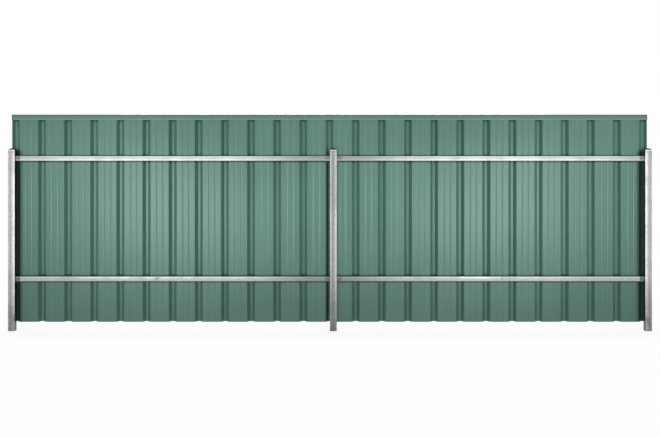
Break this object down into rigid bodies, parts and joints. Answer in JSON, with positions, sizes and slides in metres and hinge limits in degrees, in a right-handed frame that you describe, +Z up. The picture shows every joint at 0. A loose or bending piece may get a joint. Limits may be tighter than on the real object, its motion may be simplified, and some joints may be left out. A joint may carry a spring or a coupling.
{
  "type": "post and rail fence",
  "caption": "Steel fence of square posts and rails, with ribbed painted sheets fixed behind the rails and a folded capping along the top.",
  "frame": {"origin": "on the ground line, half way along the sheets' run, in the posts' middle plane", "axes": "+X along the fence to the right as seen from the post side, +Y from the posts towards the sheets, +Z up"},
  "size_m": [4.666, 0.0812, 1.5675],
  "materials": {
    "painted_sheet": "satin paint",
    "painted_capping": "satin paint",
    "galvanised_post": "galvanised",
    "cap_plastic": "moulded",
    "galvanised_rail": "galvanised",
    "galvanised_bracket": "galvanised",
    "sheet_fasteners": "satin paint",
    "bracket_fasteners": "zinc plated"
  },
  "bodies": {
    "root": {"bracket_post_screws": "bracket_fasteners", "bracket_rail_screws": "bracket_fasteners", "capping": "painted_capping", "capping_rivets": "sheet_fasteners", "post_cap_left": "cap_plastic", "post_cap_middle": "cap_plastic", "post_cap_right": "cap_plastic", "post_left": "galvanised_post", "post_middle": "galvanised_post", "post_right": "galvanised_post", "rail_bracket_lower_left_inner": "galvanised_bracket", "rail_bracket_lower_left_outer": "galvanised_bracket", "rail_bracket_lower_right_inner": "galvanised_bracket", "rail_bracket_lower_right_outer": "galvanised_bracket", "rail_bracket_upper_left_inner": "galvanised_bracket", "rail_bracket_upper_left_outer": "galvanised_bracket", "rail_bracket_upper_right_inner": "galvanised_bracket", "rail_bracket_upper_right_outer": "galvanised_bracket", "rail_lower_left": "galvanised_rail", "rail_lower_right": "galvanised_rail", "rail_upper_left": "galvanised_rail", "rail_upper_right": "galvanised_rail", "sheet_1": "painted_sheet", "sheet_2": "painted_sheet", "sheet_3": "painted_sheet", "sheet_4": "painted_sheet", "sheet_5": "painted_sheet", "sheet_6": "painted_sheet", "sheet_screws_lower": "sheet_fasteners", "sheet_screws_upper": "sheet_fasteners"}
  },
  "joints": []
}
